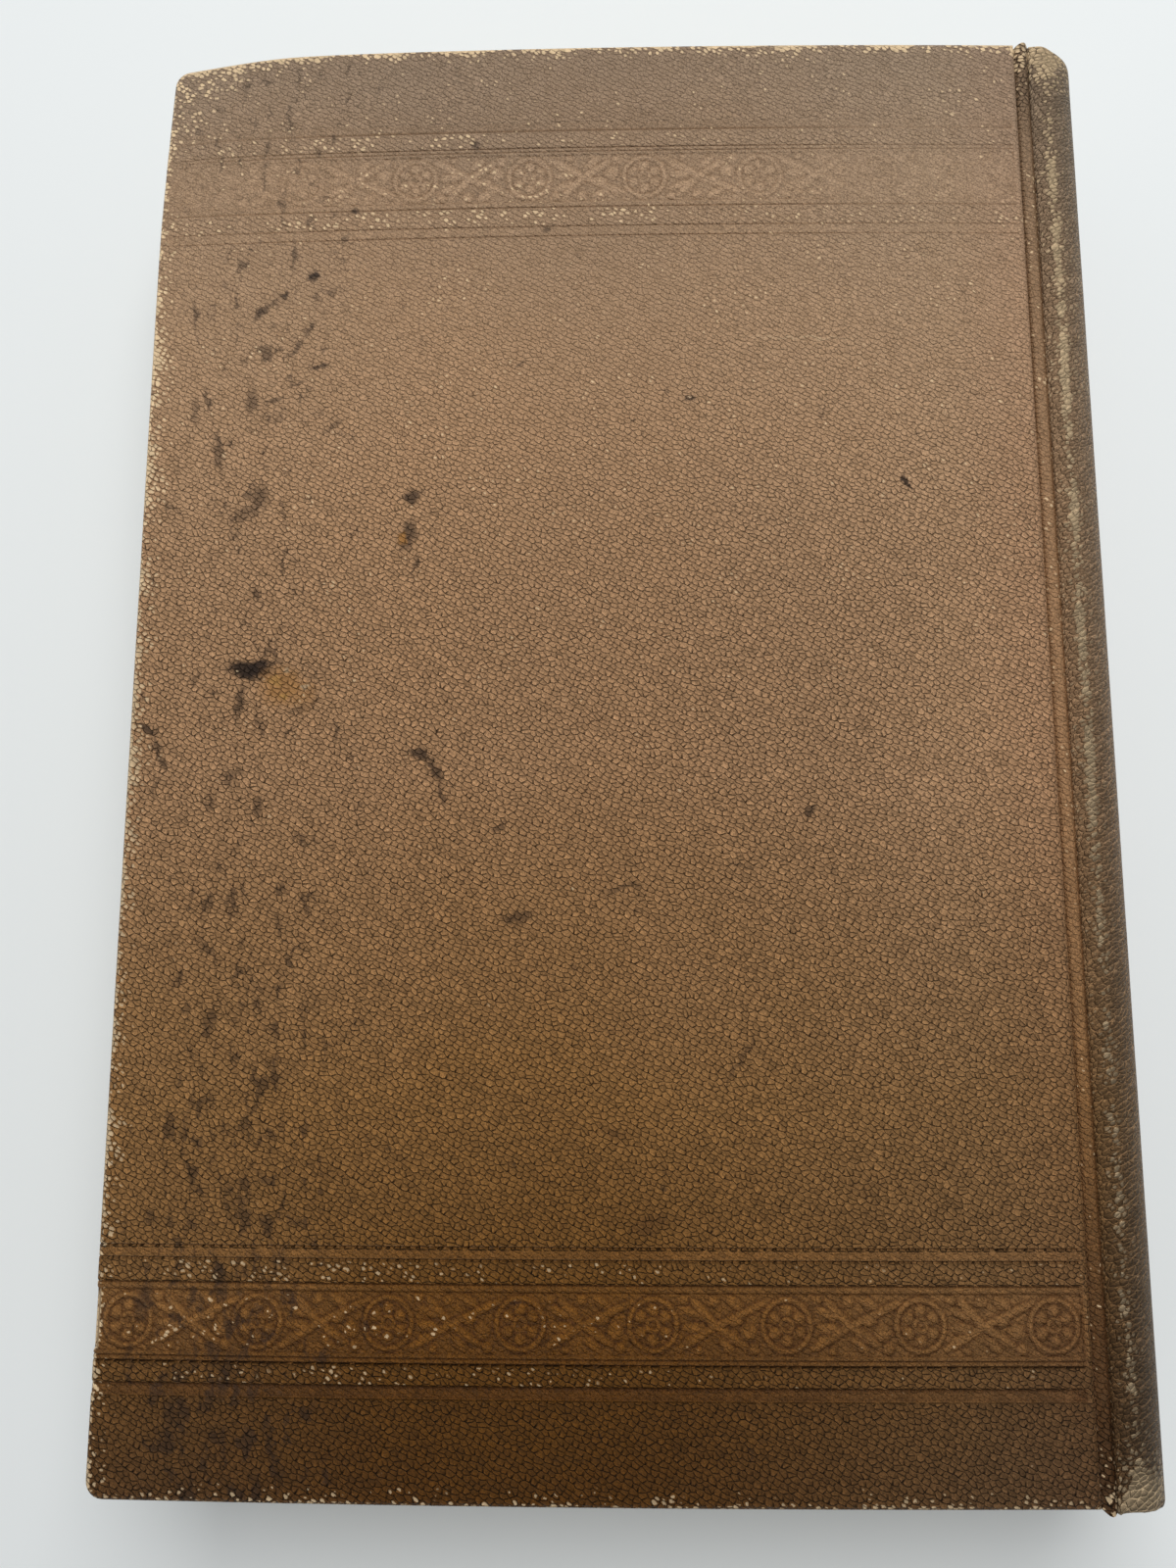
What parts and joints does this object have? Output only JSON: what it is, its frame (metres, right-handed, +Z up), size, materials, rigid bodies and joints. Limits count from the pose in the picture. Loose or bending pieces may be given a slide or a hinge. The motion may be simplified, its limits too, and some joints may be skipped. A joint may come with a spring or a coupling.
{
  "type": "hardback book",
  "caption": "Cloth-cased hardback book with a rounded, backed spine, two hinged covers and blind-stamped ornament bands on the rear cover.",
  "frame": {"origin": "centre of the closed book's bounding box, on the table it lies on", "axes": "+X from the fore edge towards the spine, +Y from the tail towards the head, +Z up from the front cover to the rear cover"},
  "size_m": [0.154, 0.226, 0.0393],
  "materials": {
    "book_cloth": "brown pebble-grained book cloth, worn to cream at edges, ridges and grain tops, with dark stains",
    "endpaper": "aged cream paper, matt",
    "pages": "stacked edges of toned paper, matt",
    "board": "grey-brown pasteboard",
    "lining": "open-weave lining cloth, glued"
  },
  "bodies": {
    "book_block": {"text_block": "pages", "rear_flyleaf": "endpaper", "front_flyleaf": "endpaper", "spine_lining": "lining", "spine_inlay": "board", "spine_cloth": "book_cloth"},
    "rear_cover": {"rear_board": "board", "rear_cover_cloth": "book_cloth", "rear_pastedown": "endpaper"},
    "front_cover": {"front_board": "board", "front_cover_cloth": "book_cloth", "front_pastedown": "endpaper"}
  },
  "joints": [
    {"name": "rear_cover_hinge", "type": "hinge", "parent": "book_block", "child": "rear_cover", "pos_m": [0.06585, 0, 0.038], "axis": [0, 1, 0], "range_deg": [0, 180]},
    {"name": "front_cover_hinge", "type": "hinge", "parent": "book_block", "child": "front_cover", "pos_m": [0.06585, 0, 0], "axis": [0, -1, 0], "range_deg": [0, 180]}
  ]
}
